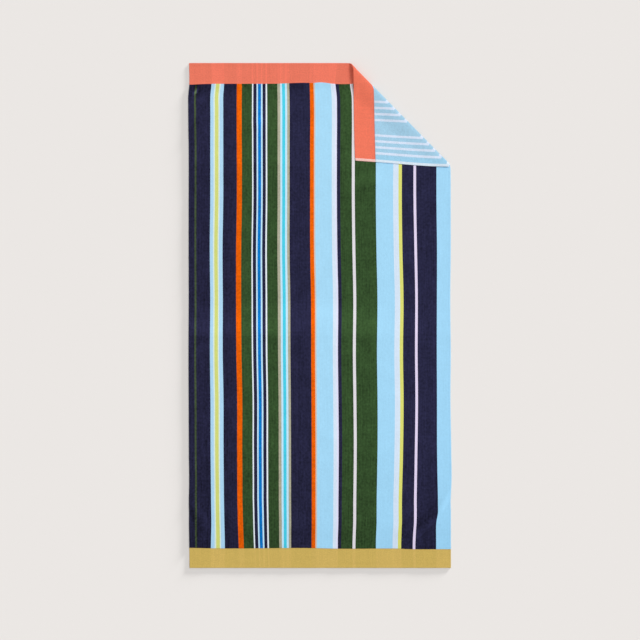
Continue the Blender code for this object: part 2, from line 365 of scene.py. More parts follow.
def puckers(flat):
    """Short waves in the pile beside each heading, which lean as they leave it."""
    past = past_heading(flat)
    share = ease((past + PUCKER_BEGIN) / PUCKER_RISE) * (1 - ease(past / PUCKER_REACH))
    along = (flat[:, 0] - past * PUCKER_LEAN) / PUCKER_WAVE
    end = np.sign(flat[:, 1]) * PUCKER_SEED[0]
    wave = [noise.noise((a, b, PUCKER_SEED[1])) for a, b in zip(along, end)]
    return PUCKER_HEIGHT * share * np.clip(PUCKER_LEVEL + PUCKER_SWING * np.array(wave), 0.0, 1.0)


def unevenness(flat):
    """Slow, shallow rise and fall of the whole cloth, never below the floor."""
    height = np.zeros(len(flat))
    for part in UNEVEN:
        rise = [noise.noise((x / part.size, y / part.size, part.seed)) for x, y in flat]
        height += part.height * (0.5 + np.array(rise))
    return np.maximum(height, 0.0)


def along_fold(flat, beyond):
    """Place along the fold, from 0 at the coral end to 1 at the side."""
    beyond = np.minimum(beyond, BEND_CLOTH)
    top_x = FLOOR_LINE.top[0] + beyond / FOLD_ACROSS[0]
    side_y = FLOOR_LINE.side[1] + beyond / FOLD_ACROSS[1]
    top = top_x * FOLD_ALONG[0] + LENGTH / 2 * FOLD_ALONG[1]
    side = WIDTH / 2 * FOLD_ALONG[0] + side_y * FOLD_ALONG[1]
    return (flat @ FOLD_ALONG - top) / (side - top)


def on_line(line, t):
    """Points from one end of a fold line, at 0, to the other, at 1."""
    return line.top + np.outer(t, line.side - line.top)


def laid_on_floor(flat, beyond):
    """Where the back lies on the floor."""
    x = flat[:, 0] + warp_drift(flat) * ease(-beyond / DRIFT_REACH)
    y = flat[:, 1] + heading_shift(flat) * ease(-beyond / HEADING_REACH)
    under_corner = ease((flat - UNDER_CORNER) / UNDER_CORNER_FADE).prod(axis=1)
    small = (puckers(flat) + unevenness(flat)) * ease(-beyond / RELIEF_REACH) * (1 - under_corner)
    return np.stack((x, y, creases(flat) + small), axis=1)


def laid_round_fold(flat, beyond):
    """Where the back goes off the floor, out round the loop of the fold and over."""
    t = along_fold(flat, beyond)
    turn = pi * np.clip(beyond / BEND_CLOTH, 0.0, 1.0)
    floor = on_line(FLOOR_LINE, t)
    over = on_line(OVER_LINE, t)
    bulge = on_line(OUTER_LINE, t) - (floor + over) / 2
    place = floor + (over - floor) * (turn / pi)[:, None] + bulge * np.sin(turn)[:, None]
    loop = mix(LOOP_HEIGHT.top, LOOP_HEIGHT.side, t)
    return np.column_stack((place, loop * (1 - np.cos(turn)) / 2))


def early_bow(t):
    """A bow along t, fullest a fifth of the way, where 3.5 makes it 1."""
    return 3.5 * np.sqrt(t) * (1 - t) ** 2


def late_bow(t):
    """A bow along t, fullest seven tenths of the way, where it is 1."""
    return np.sin(pi * t**2)


def laid_folded_over(flat, beyond):
    """Where the corner's back lies, face down, as it settles on to the cloth below."""
    top_x = FLOOR_LINE.top[0] + BEND_CLOTH / FOLD_ACROSS[0]
    side_y = FLOOR_LINE.side[1] + BEND_CLOTH / FOLD_ACROSS[1]
    from_side = (CORNER[0] - flat[:, 0]) / (CORNER[0] - top_x)
    from_top = (CORNER[1] - flat[:, 1]) / (CORNER[1] - side_y)
    place = CORNER_TIP + np.outer(from_side, OVER_LINE.top - CORNER_TIP)
    place += np.outer(from_top, OVER_LINE.side - CORNER_TIP)
    reach = 1 - ease((CORNER[1] - flat[:, 1]) / CORAL_EDGE_BOW_REACH)
    place[:, 0] -= CORAL_EDGE_BOW * early_bow(np.clip(from_side, 0.0, 1.0)) * reach
    reach = 1 - ease((CORNER[0] - flat[:, 0]) / SIDE_EDGE_BOW_REACH)
    place[:, 1] -= SIDE_EDGE_BOW * late_bow(np.clip(from_top, 0.0, 1.0)) * reach
    t = np.clip(along_fold(flat, beyond), 0.0, 1.0)
    loop = mix(LOOP_HEIGHT.top, LOOP_HEIGHT.side, t)
    rest = VELOUR + LAYER_GAP + cloth_thickness(flat)
    settle = mix(SETTLE.top, SETTLE.side, t)
    return np.column_stack((place, mix(loop, rest, ease((beyond - BEND_CLOTH) / settle))))


def laid_back(flat):
    """Where points of the cloth's back lie."""
    beyond = beyond_fold(flat)
    place = laid_on_floor(flat, beyond)
    bend = beyond > 0.0
    place[bend] = laid_round_fold(flat[bend], beyond[bend])
    corner = beyond > BEND_CLOTH
    place[corner] = laid_folded_over(flat[corner], beyond[corner])
    return place


def laid_normals(flat):
    """Unit normals of the laid cloth, on its face side."""
    step_x, step_y = np.eye(2) * SLOPE_STEP
    across = laid_back(flat + step_x) - laid_back(flat - step_x)
    along = laid_back(flat + step_y) - laid_back(flat - step_y)
    normals = np.cross(across, along)
    return normals / np.linalg.norm(normals, axis=1)[:, None]


def pile_share(flat):
    """0 on the flat headings, and 1 where the pile stands at its full height."""
    return np.sqrt(1 - (1 - np.clip(past_heading(flat) / PILE_EDGE, 0, 1)) ** 2)


def cloth_thickness(flat):
    """Thickness through pile or flat weave, and a little more where it is hemmed."""
    by_side = 1 - ease(to_side(flat) / SIDE_HEM_FADE)
    by_end = 1 - ease(to_end(flat) / END_HEM_FADE)
    return mix(HEADING, VELOUR, pile_share(flat)) + HEM_EXTRA * np.maximum(by_side, by_end)


def drawn_in(flat, thickness):
    """How far each surface is drawn in, at the round edge and along the stitching."""
    nearest = np.minimum(to_side(flat), to_end(flat))
    outside = 1 - np.clip(nearest / (thickness / 2), 0, 1)
    edge = thickness / 2 * EDGE_ROUND * (1 - np.sqrt(1 - outside**2))
    side_seam = 1 - ease(abs(to_side(flat) - SIDE_SEAM) / SEAM_GROOVE_WIDTH)
    end_seam = 1 - ease(abs(to_end(flat) - END_SEAM) / SEAM_GROOVE_WIDTH)
    return edge + SEAM_GROOVE * np.maximum(side_seam, end_seam)


def back_inset(flat):
    """The back lies deeper inside its turned hems, and deepest on the headings."""
    inside_side = ease((to_side(flat) - SIDE_HEM) / INSET_STEP)
    inside_end = ease((to_end(flat) - END_HEM) / INSET_STEP)
    return mix(HEADING_INSET, TERRY_INSET, pile_share(flat)) * inside_side * inside_end


def laid(flat, on_face, proud=0.0):
    """Where points of the face or the back lie, or points that far proud of it."""
    thickness = cloth_thickness(flat)
    face = thickness - drawn_in(flat, thickness) + proud
    back = drawn_in(flat, thickness) + back_inset(flat) - proud
    return laid_back(flat) + laid_normals(flat) * np.where(on_face, face, back)[:, None]


def stations(half, own):
    """Columns or rows over one direction of the cloth: its own ones, then evenly spaced."""
    own = np.array(own)
    even = np.linspace(-half, half, round(2 * half / SPACING) + 1)
    clear = [x for x in even if abs(own - x).min() > SPACING * 0.5]
    return np.sort(np.concatenate((own, clear)))


def flat_cloth():
    """The flat towel as a closed block one unit high, with its back at z = 0."""
    sides = [end * (WIDTH / 2 - d) for end in (-1, 1) for d in EDGE_STATIONS + SIDE_STATIONS]
    ends = [end * (LENGTH / 2 - d) for end in (-1, 1) for d in EDGE_STATIONS + END_STATIONS]
    ends += [LENGTH / 2 - CORAL_HEADING - d for d in HEADING_STATIONS]
    ends += [MUSTARD_HEADING - LENGTH / 2 + d for d in HEADING_STATIONS]
    columns = stations(WIDTH / 2, sides)
    rows = stations(LENGTH / 2, ends)
    bpy.ops.mesh.primitive_grid_add(
        x_subdivisions=len(columns) - 1,
        y_subdivisions=len(rows) - 1,
        size=2,
    )
    cloth = bpy.context.object
    bm = bmesh.new()
    bm.from_mesh(cloth.data)
    for vert in bm.verts:
        column = round((vert.co.x + 1) / 2 * (len(columns) - 1))
        row = round((vert.co.y + 1) / 2 * (len(rows) - 1))
        vert.co = (columns[column], rows[row], 0.0)
    bend = [BEND_CLOTH * i / FOLD_STEPS for i in range(FOLD_STEPS + 1)]
    settle = [BEND_CLOTH + SETTLE.top * i / SETTLE_STEPS for i in range(1, SETTLE_STEPS + 1)]
    across = Vector((*FOLD_ACROSS, 0.0))
    start = Vector((*FLOOR_LINE.top, 0.0))
    for beyond in bend + settle:
        near = [vert for vert in bm.verts if abs((vert.co - start).dot(across) - beyond) < NEAR_CUT]
        faces = dict.fromkeys(face for vert in near for face in vert.link_faces)
        edges = dict.fromkeys(edge for face in faces for edge in face.edges)
        verts = dict.fromkeys(vert for face in faces for vert in face.verts)
        bmesh.ops.bisect_plane(
            bm,
            geom=[*verts, *edges, *faces],
            dist=SNAP,
            plane_co=start + across * beyond,
            plane_no=across,
        )
    face_side = bmesh.ops.extrude_face_region(bm, geom=bm.faces[:], use_keep_orig=True)
    for made in face_side["geom"]:
        if isinstance(made, bmesh.types.BMVert):
            made.co.z = 1.0
    bmesh.ops.recalc_face_normals(bm, faces=bm.faces[:])
    bm.to_mesh(cloth.data)
    bm.free()
    return cloth


def read(items, name, width):
    """One value or vector of every vertex, corner or face, as an array."""
    found = np.empty(len(items) * width)
    items.foreach_get(name, found)
    return found.reshape(-1, width)


towel = flat_cloth()
towel.name = "towel_cloth"
mesh = towel.data
block = read(mesh.vertices, "co", 3)
middles = read(mesh.polygons, "center", 3)

# The cloth map: metres from the left side, and from the mustard end
cloth_map = mesh.uv_layers.new(name="cloth")
corners = np.empty(len(mesh.loops), int)
mesh.loops.foreach_get("vertex_index", corners)
cloth_map.data.foreach_set("uv", (block[corners, :2] + (WIDTH / 2, LENGTH / 2)).ravel())
mesh.vertices.foreach_set("co", laid(block[:, :2], block[:, 2] > 0.5).ravel())

# Painted light and shade on the pile: how much lighter or darker it is painted on dark yarns, then on
# pale ones, and how
# # much deeper and darker the colour of pale yarns is painted. The fold's own slopes are left out.
slope = laid_normals(block[:, :2]) @ (cos(LIGHT_SIDE), sin(LIGHT_SIDE), 0)
lay = np.outer(slope, (PAINTED_SLOPE_LIGHT, PAINTED_PALE_SLOPE_LIGHT, 0.0))
for strip in PAINTED_LIGHT_STRIPS:
    lay += np.outer(soft_strip(block[:, :2], strip, EVEN_MIDDLE), (strip.dark, strip.pale, 0.0))
right_half = np.clip(block[:, 0] / (WIDTH / 2), 0.0, 1.0)
lay[:, 2] = PAINTED_DEEPER_TO_RIGHT * right_half + PAINTED_DEEPER_TO_BOTTOM * (0.5 - block[:, 1] / LENGTH) ** 2
lay[beyond_fold(block[:, :2]) > PAINTED_LIGHT_STOP] = 0.0
mesh.attributes.new("lay", "FLOAT_VECTOR", "POINT").data.foreach_set("vector", lay.ravel())

# Which weave each face of the mesh shows, by its place among the materials: velour and
# the two headings, terry and the backs of the headings, and last the turned selvage
flat_middles = middles[:, :2]
on_back = middles[:, 2] == 0.0
on_heading = past_heading(flat_middles) < 0
coral_end = flat_middles[:, 1] > 0
turned_in = on_back & (to_side(flat_middles) < SIDE_HEM)
weave = np.where(on_heading, np.where(coral_end, 1, 2), 0)
weave[on_back] += 3
weave[turned_in] = 6
mesh.polygons.foreach_set("material_index", weave)

# Yarn colours, as red, green and blue out of 255
YARNS = {
    "navy": (37, 37, 64),
    "olive": (67, 82, 55),
    "pale_blue": (178, 219, 246),
    "white": (236, 243, 250),
    "milk": (222, 238, 231),
    "lime": (215, 221, 127),
    "orange": (235, 98, 0),
    "green": (52, 78, 43),
    "blue": (4, 121, 204),
    "beige": (176, 174, 152),
    "ice": (200, 235, 253),
    "turquoise": (78, 210, 234),
    "peach": (216, 198, 182),
    "sky": (171, 222, 250),
    "pale": (219, 234, 250),
    "lavender": (230, 230, 253),
    "blush": (230, 226, 232),
    "yellow": (225, 225, 122),
    "pink": (232, 220, 245),
    "coral": (238, 123, 99),
    "coral_over_pale": (248, 127, 103),
    "coral_back": (248, 125, 98),
    "mustard": (204, 175, 94),
    "mustard_over_pale": (210, 179, 99),
    "terry_blue": (170, 213, 238),
    "selvage_blue": (163, 214, 242),
    "terry_white": (222, 235, 255),
    "selvage": (228, 242, 255),
    "coral_selvage": (254, 203, 194),
    "mustard_selvage": (236, 223, 182),
}

# The warp across the face, from the left side: each stripe's width and its yarn
WARP = (
    (0.0200, "navy"), (0.0066, "olive"), (0.0481, "navy"),
    (0.0108, "pale_blue"), (0.0043, "milk"), (0.0118, "lime"), (0.0042, "milk"), (0.0122, "pale_blue"),
    (0.0455, "navy"), (0.0173, "orange"), (0.0358, "green"),
    (0.0044, "white"), (0.0114, "navy"), (0.0050, "ice"), (0.0111, "blue"), (0.0051, "ice"),
    (0.0113, "navy"), (0.0050, "white"), (0.0368, "green"),
    (0.0095, "beige"), (0.0067, "ice"), (0.0107, "turquoise"), (0.0071, "ice"), (0.0084, "beige"),
    (0.0711, "navy"), (0.0133, "orange"), (0.0050, "peach"),
    (0.0575, "sky"), (0.0113, "pale"), (0.0066, "lavender"), (0.0120, "navy"),
    (0.0402, "green"), (0.0099, "blush"), (0.0731, "green"),
    (0.0600, "sky"), (0.0185, "pale"), (0.0114, "yellow"),
    (0.0400, "navy"), (0.0087, "pink"), (0.0660, "navy"), (0.0493, "sky"),
)

# The stripes' ramp is cut into beams, because a render reads a ramp at 256 places alone
WARP_BEAMS = 8

# Marks in a surface of yarn: their size, their stretch, which is below 1 in the direction
# that they are drawn out in, and how much they vary the shade
Marks = namedtuple("Marks", "size stretch strength")
ROUND = (1, 1, 1)
TUFTS = Marks(size=0.0012, stretch=ROUND, strength=0.80)
STREAKS = Marks(size=0.0040, stretch=(1, 0.06, 1), strength=0.90)
PILE_MARKS = (
    Marks(size=0.0060, stretch=(1, 0.004, 1), strength=0.60),
    Marks(size=0.0080, stretch=ROUND, strength=1.30),
    Marks(size=0.0450, stretch=ROUND, strength=0.60),
)
TERRY_MARKS = (
    Marks(size=0.0090, stretch=ROUND, strength=0.20),
    Marks(size=0.0400, stretch=ROUND, strength=0.12),
)
WEAVE_MARKS = (
    Marks(size=0.0045, stretch=(1, 0.03, 1), strength=0.13),
    Marks(size=0.0040, stretch=ROUND, strength=0.38),
    Marks(size=0.0200, stretch=ROUND, strength=0.10),
    Marks(size=0.0050, stretch=(0.02, 1, 1), strength=0.07),
)

# Shorn pile: its painted light and shade, and its marks, show in full on black yarn, less as the yarn
# gets lighter, and
# # never less than the least. Stripes have the ragged edge of its tufts.
DARKNESS_SLOPE = 1.5
LEAST_DARKNESS = 0.10
STREAK_HEIGHT = 0.5
PILE_DEPTH = 0.0009
RAGGED_EDGE = 0.0009
RAGGED_SIZE = 0.0022

# Terry loops, and the ribs, weft and slubs of the flat weave of headings and selvage
LOOP_SIZE = 0.0021
LOOP_SCATTER = 0.8
LOOP_MIDDLE = 0.55
LOOP_SHADE = 0.22
LOOP_DEPTH = 0.0010
RIB_PITCH = 0.0013
RIB_HEIGHT = 0.5
WEFT_PITCH = 0.0006
WEFT_HEIGHT = 0.25
SLUBS = Marks(size=0.0016, stretch=(0.1, 1, 1), strength=0.8)
RELIEF_SHADE = 0.060
WEAVE_DEPTH = 0.00018
SELVAGE_DEPTH = 0.00025

# How much of each primary of the warp's colour brightens the headings' weft
WARP_SHOWS = (0.65, 0.65, 0.14)

# White lines on the back, in groups, by distance from the right side
TERRY_LINES = 4
LINE_PITCH = 0.0211
LINE_WIDTH = 0.0082
LINES_PERIOD = 0.1178
FIRST_LINE = 0.0316
LINE_WANDER = 0.0050
LINE_WANDER_SIZE = 0.0030
BLUE_SELVAGE = 0.0245


def dyed(yarn):
    """A yarn's colour as linear light, by the sRGB curve."""
    light = []
    for value in YARNS[yarn]:
        share = value / 255
        light.append(share / 12.92 if value <= 10 else ((share + 0.055) / 1.055) ** 2.4)
    return (*light, 1.0)


def add_node(tree, kind, inputs=(), **settings):
    """One shader node. Each input, by name or number, takes a value or a socket's link."""
    node = tree.nodes.new("ShaderNode" + kind)
    for name, value in settings.items():
        setattr(node, name, value)
    for name, value in dict(inputs).items():
        if isinstance(value, bpy.types.NodeSocket):
            tree.links.new(value, node.inputs[name])
        else:
            node.inputs[name].default_value = value
    return node


def maths(tree, operation, *values):
    """The result of a sum, a product or a test."""
    return add_node(tree, "Math", enumerate(values), operation=operation).outputs[0]


def blend(tree, share, a, b):
    """Two colours mixed."""
    node = add_node(tree, "Mix", {"Factor": share}, data_type="RGBA")
    for name, value in (("A", a), ("B", b)):
        socket = [s for s in node.inputs if s.name == name and s.type == "RGBA"][0]
        if isinstance(value, bpy.types.NodeSocket):
            tree.links.new(value, socket)
        else:
            socket.default_value = value
    return [s for s in node.outputs if s.type == "RGBA"][0]


def shaded(tree, colour, shade):
    """A colour made lighter or darker."""
    node = add_node(tree, "VectorMath", {"Vector": colour, "Scale": shade}, operation="SCALE")
    return node.outputs[0]


def scaled_noise(tree, place, size, stretch=ROUND):
    """Noise whose features are about this size in metres, from -0.5 to 0.5."""
    vector = add_node(tree, "Mapping", {"Vector": place, "Scale": stretch}).outputs[0]
    noise_node = add_node(tree, "TexNoise", {"Vector": vector, "Scale": 1 / size, "Detail": 2.0})
    return maths(tree, "SUBTRACT", noise_node.outputs[0], 0.5)


def marked(tree, place, shade, kinds):
    """The shade, varied by each kind of marks in turn."""
    for kind in kinds:
        found = scaled_noise(tree, place, kind.size, kind.stretch)
        shade = maths(tree, "MULTIPLY_ADD", found, kind.strength, shade)
    return shade


def new_group(name, inputs, outputs):
    """A node group with these sockets, its inputs' sockets and its output node."""
    tree = bpy.data.node_groups.new(name, "ShaderNodeTree")
    for kind, sockets in (("INPUT", inputs), ("OUTPUT", outputs)):
        for socket, data in sockets.items():
            tree.interface.new_socket(socket, in_out=kind, socket_type="NodeSocket" + data)
    return tree, tree.nodes.new("NodeGroupInput").outputs, tree.nodes.new("NodeGroupOutput")


def place_group(tree, group, **inputs):
    """A node group placed in a material, and its outputs."""
    node = tree.nodes.new("ShaderNodeGroup")
    node.node_tree = group
    for name, value in inputs.items():
        socket = node.inputs[name.replace("_", " ")]
        if isinstance(value, bpy.types.NodeSocket):
            tree.links.new(value, socket)
        else:
            socket.default_value = value
    return node.outputs


def warp_stripes():
    """Colour of the warp by distance from the left side, a beam of it at a time."""
    tree, given, out = new_group("warp stripes", {"From Left": "Float"}, {"Colour": "Color"})
    beam = WIDTH / WARP_BEAMS
    edges = [sum(width for width, _ in WARP[:i]) for i in range(len(WARP) + 1)]
    colour = None
    for i in range(WARP_BEAMS):
        start = i * beam
        place = maths(tree, "DIVIDE", maths(tree, "SUBTRACT", given[0], start), beam)
        ramp = add_node(tree, "ValToRGB", {0: place})
        stops = ramp.color_ramp.elements
        ramp.color_ramp.interpolation = "CONSTANT"
        here = [j for j in range(len(WARP)) if edges[j] < start + beam and edges[j + 1] > start]
        while len(stops) < len(here):
            stops.new(1.0)
        while len(stops) > len(here):
            stops.remove(stops[-1])
        for stop, j in zip(stops, here):
            stop.position = max((edges[j] - start) / beam, 0.0)
            stop.color = dyed(WARP[j][1])
        if colour is None:
            colour = ramp.outputs[0]
        else:
            past_start = maths(tree, "GREATER_THAN", given[0], start)
            colour = blend(tree, past_start, colour, ramp.outputs[0])
    tree.links.new(colour, out.inputs[0])
    return tree


def cut_pile():
    """Shorn pile: fine tufts, streaks along the warp and patches brushed either way, under its painted
    light and shade.
    """
    tree, given, out = new_group(
        "cut pile",
        {"Cloth": "Vector", "Lay": "Vector", "Yarn": "Color"},
        {"Colour": "Color", "Height": "Float"},
    )
    tufts = scaled_noise(tree, given["Cloth"], TUFTS.size)
    streaks = scaled_noise(tree, given["Cloth"], STREAKS.size, STREAKS.stretch)
    # The attribute's three parts: painted light and shade on dark yarns, to which the pile's marks are
    # added next, painted light and shade on pale yarns, and how far pale yarns are painted deeper and
    # darker
    turned, painted_on_pale, deeper = add_node(tree, "SeparateXYZ", {0: given["Lay"]}).outputs
    turned = maths(tree, "MULTIPLY_ADD", tufts, TUFTS.strength, turned)
    turned = maths(tree, "MULTIPLY_ADD", streaks, STREAKS.strength, turned)
    turned = marked(tree, given["Cloth"], turned, PILE_MARKS)
    light = add_node(tree, "RGBToBW", {0: given["Yarn"]}).outputs[0]
    darkness = maths(tree, "MULTIPLY_ADD", light, -DARKNESS_SLOPE, 1.0)
    darkness = maths(tree, "MAXIMUM", darkness, LEAST_DARKNESS)
    paleness = maths(tree, "SUBTRACT", 1.0, darkness)
    # The painted light and shade are multiplied into the yarn's colour, and pale yarns are painted
    # deeper and darker towards their colour squared
    shade = maths(tree, "ADD", 1.0, maths(tree, "MULTIPLY", turned, darkness))
    shade = maths(tree, "ADD", shade, maths(tree, "MULTIPLY", painted_on_pale, paleness))
    by_itself = {0: given["Yarn"], 1: given["Yarn"]}
    squared = add_node(tree, "VectorMath", by_itself, operation="MULTIPLY").outputs[0]
    yarn = blend(tree, maths(tree, "MULTIPLY", deeper, paleness), given["Yarn"], squared)
    tree.links.new(shaded(tree, yarn, shade), out.inputs["Colour"])
    tree.links.new(maths(tree, "MULTIPLY_ADD", streaks, STREAK_HEIGHT, tufts), out.inputs["Height"])
    return tree


def relief_group(name):
    """A group that takes a place on the cloth and gives the shade and height of a weave."""
    return new_group(name, {"Cloth": "Vector"}, {"Shade": "Float", "Height": "Float"})


def terry_loops():
    """Uncut loops, standing close together."""
    tree, given, out = relief_group("terry loops")
    settings = {"Vector": given[0], "Scale": 1 / LOOP_SIZE, "Randomness": LOOP_SCATTER}
    cells = add_node(tree, "TexVoronoi", settings)
    loops = maths(tree, "SUBTRACT", 1.0, cells.outputs["Distance"])
    above_middle = maths(tree, "SUBTRACT", loops, LOOP_MIDDLE)
    shade = maths(tree, "MULTIPLY_ADD", above_middle, LOOP_SHADE, 1.0)
    tree.links.new(marked(tree, given[0], shade, TERRY_MARKS), out.inputs["Shade"])
    tree.links.new(loops, out.inputs["Height"])
    return tree


def flat_weave():
    """Close flat weave: ribs over the warp threads, crossed by the fine weft."""
    tree, given, out = relief_group("flat weave")
    place = add_node(tree, "SeparateXYZ", {0: given[0]}).outputs
    ribs = maths(tree, "SINE", maths(tree, "MULTIPLY", place[0], 2 * pi / RIB_PITCH))
    weft = maths(tree, "SINE", maths(tree, "MULTIPLY", place[1], 2 * pi / WEFT_PITCH))
    height = maths(tree, "MULTIPLY", ribs, RIB_HEIGHT)
    height = maths(tree, "MULTIPLY_ADD", weft, WEFT_HEIGHT, height)
    height = marked(tree, given[0], height, [SLUBS])
    shade = maths(tree, "MULTIPLY_ADD", height, RELIEF_SHADE, 1.0)
    tree.links.new(marked(tree, given[0], shade, WEAVE_MARKS), out.inputs["Shade"])
    tree.links.new(height, out.inputs["Height"])
    return tree


STRIPES = warp_stripes()
CUT_PILE = cut_pile()
TERRY_LOOPS = terry_loops()
FLAT_WEAVE = flat_weave()


def cloth_material(name, roughness, sheen):
    """A matt cotton material, with its node tree, shader and place on the cloth."""
    material = bpy.data.materials.new(name)
    material.use_nodes = True
    tree = material.node_tree
    shader = tree.nodes["Principled BSDF"]
    shader.inputs["Roughness"].default_value = roughness
    shader.inputs["Specular IOR Level"].default_value = 0.03
    shader.inputs["Sheen Weight"].default_value = sheen
    shader.inputs["Sheen Roughness"].default_value = 0.6
    place = add_node(tree, "UVMap", uv_map="cloth").outputs[0]
    return material, tree, shader, place


def finish_cloth(tree, shader, colour, relief, depth):
    """Shades the colour by the weave, and raises the weave by this depth."""
    tree.links.new(shaded(tree, colour, relief["Shade"]), shader.inputs["Base Color"])
    bump = add_node(tree, "Bump", {"Height": relief["Height"], "Distance": depth, "Strength": 1.0})
    tree.links.new(bump.outputs[0], shader.inputs["Normal"])


def velour_face():
    """Shorn pile, whose stripes have the slightly ragged edges of its tufts."""
    material, tree, shader, place = cloth_material("velour_face", roughness=0.7, sheen=0.02)
    wander = maths(tree, "MULTIPLY", scaled_noise(tree, place, RAGGED_SIZE), RAGGED_EDGE)
    from_left = maths(tree, "ADD", add_node(tree, "SeparateXYZ", {0: place}).outputs[0], wander)
    stripes = place_group(tree, STRIPES, From_Left=from_left)
    # Painted light and shade on the pile, from the mesh attribute
    lay = add_node(tree, "Attribute", attribute_name="lay").outputs["Vector"]
    pile = place_group(tree, CUT_PILE, Cloth=place, Lay=lay, Yarn=stripes["Colour"])
    tree.links.new(pile["Colour"], shader.inputs["Base Color"])
    bump = add_node(tree, "Bump", {"Height": pile["Height"], "Distance": PILE_DEPTH})
    tree.links.new(bump.outputs[0], shader.inputs["Normal"])
    return material


def heading_face(name, yarn):
    """A flat heading: its weft covers the striped warp, and is brighter over pale threads."""
    material, tree, shader, place = cloth_material(name, roughness=0.85, sheen=0.02)
    relief = place_group(tree, FLAT_WEAVE, Cloth=place)
    from_left = add_node(tree, "SeparateXYZ", {0: place}).outputs[0]
    stripes = place_group(tree, STRIPES, From_Left=from_left)
    warp = add_node(tree, "VectorMath", {0: stripes["Colour"], 1: WARP_SHOWS}, operation="DOT_PRODUCT")
    colour = blend(tree, warp.outputs["Value"], dyed(yarn), dyed(yarn + "_over_pale"))
    finish_cloth(tree, shader, colour, relief, WEAVE_DEPTH)
    return material


def heading_back(name, yarn):
    """The back of a heading, whose weft covers pale threads alone."""
    material, tree, shader, place = cloth_material(name, roughness=0.85, sheen=0.02)
    relief = place_group(tree, FLAT_WEAVE, Cloth=place)
    finish_cloth(tree, shader, dyed(yarn)[:3], relief, WEAVE_DEPTH)
    return material


def terry_back():
    """Pale blue loops, with white lines in groups of four along the towel."""
    material, tree, shader, place = cloth_material("terry_back", roughness=1.0, sheen=0.03)
    relief = place_group(tree, TERRY_LOOPS, Cloth=place)
    from_left = add_node(tree, "SeparateXYZ", {0: place}).outputs[0]
    wander = maths(tree, "MULTIPLY", scaled_noise(tree, place, LINE_WANDER_SIZE), LINE_WANDER)
    from_right = maths(tree, "ADD", maths(tree, "SUBTRACT", WIDTH, from_left), wander)
    before_line = FIRST_LINE - LINE_PITCH / 2
    past_line = maths(tree, "ADD", from_right, LINES_PERIOD - before_line)
    in_group = maths(tree, "MODULO", past_line, LINES_PERIOD)
    line = maths(tree, "DIVIDE", in_group, LINE_PITCH)
    off_middle = maths(tree, "ABSOLUTE", maths(tree, "SUBTRACT", maths(tree, "FRACT", line), 0.5))
    on_line_share = maths(tree, "LESS_THAN", off_middle, LINE_WIDTH / LINE_PITCH / 2)
    white = maths(tree, "MULTIPLY", on_line_share, maths(tree, "LESS_THAN", line, TERRY_LINES))
    by_selvage = maths(tree, "LESS_THAN", from_right, BLUE_SELVAGE)
    ground = blend(tree, by_selvage, dyed("terry_blue"), dyed("selvage_blue"))
    colour = blend(tree, white, ground, dyed("terry_white"))
    finish_cloth(tree, shader, colour, relief, LOOP_DEPTH)
    return material


def side_hem():
    """The selvage, turned to the back, with each heading's weft showing in it."""
    material, tree, shader, place = cloth_material("side_hem", roughness=0.95, sheen=0.02)
    relief = place_group(tree, FLAT_WEAVE, Cloth=place)
    from_bottom = add_node(tree, "SeparateXYZ", {0: place}).outputs[1]
    in_coral = maths(tree, "GREATER_THAN", from_bottom, LENGTH - CORAL_HEADING)
    in_mustard = maths(tree, "LESS_THAN", from_bottom, MUSTARD_HEADING)
    colour = blend(tree, in_coral, dyed("selvage"), dyed("coral_selvage"))
    colour = blend(tree, in_mustard, colour, dyed("mustard_selvage"))
    finish_cloth(tree, shader, colour, relief, SELVAGE_DEPTH)
    return material


mesh.materials.append(velour_face())
mesh.materials.append(heading_face("coral_heading", "coral"))
mesh.materials.append(heading_face("mustard_heading", "mustard"))
mesh.materials.append(terry_back())
mesh.materials.append(heading_back("coral_heading_back", "coral_back"))
mesh.materials.append(heading_back("mustard_heading_back", "mustard_over_pale"))
mesh.materials.append(side_hem())
mesh.update()
mesh.shade_smooth()
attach(towel, "root")
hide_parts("towel")


# Stitching of the hems. The real seams are lockstitched in cotton thread: white along the
# side hems, where it sinks into the velour and shows on the back alone, and coral and
# mustard along the end hems, where it shows on both sides.

STITCH_PITCH = 0.0036
STITCH_LENGTH = 0.0031
STITCH_WIDTH = 0.00055
STITCH_HEIGHT = 0.00040
STITCH_DIP = 0.00045
SEAM_ENDS = 0.004
PLY_SIZE = 0.0005
PLY_DEPTH = 0.0001
PLY_SHADE = 0.25
THREAD_SHADE = 0.98
WHITE_THREAD, CORAL_THREAD, MUSTARD_THREAD = range(3)
THREADS_DYED = {
    "hem_thread_white": "selvage",
    "hem_thread_coral": "coral",
    "hem_thread_mustard": "mustard",
}


def thread_material(name, yarn):
    """Twisted thread: its ply shows as a fine ripple."""
    if name in bpy.data.materials:
        return bpy.data.materials[name]
    material = bpy.data.materials.new(name)
    material.use_nodes = True
    tree = material.node_tree
    shader = tree.nodes["Principled BSDF"]
    shader.inputs["Roughness"].default_value = 0.75
    shader.inputs["Specular IOR Level"].default_value = 0.25
    place = add_node(tree, "TexCoord").outputs["Object"]
    ply = scaled_noise(tree, place, PLY_SIZE)
    shade = maths(tree, "MULTIPLY_ADD", ply, PLY_SHADE, THREAD_SHADE)
    tree.links.new(shaded(tree, dyed(yarn)[:3], shade), shader.inputs["Base Color"])
    bump = add_node(tree, "Bump", {"Height": ply, "Distance": PLY_DEPTH})
    tree.links.new(bump.outputs[0], shader.inputs["Normal"])
    return material


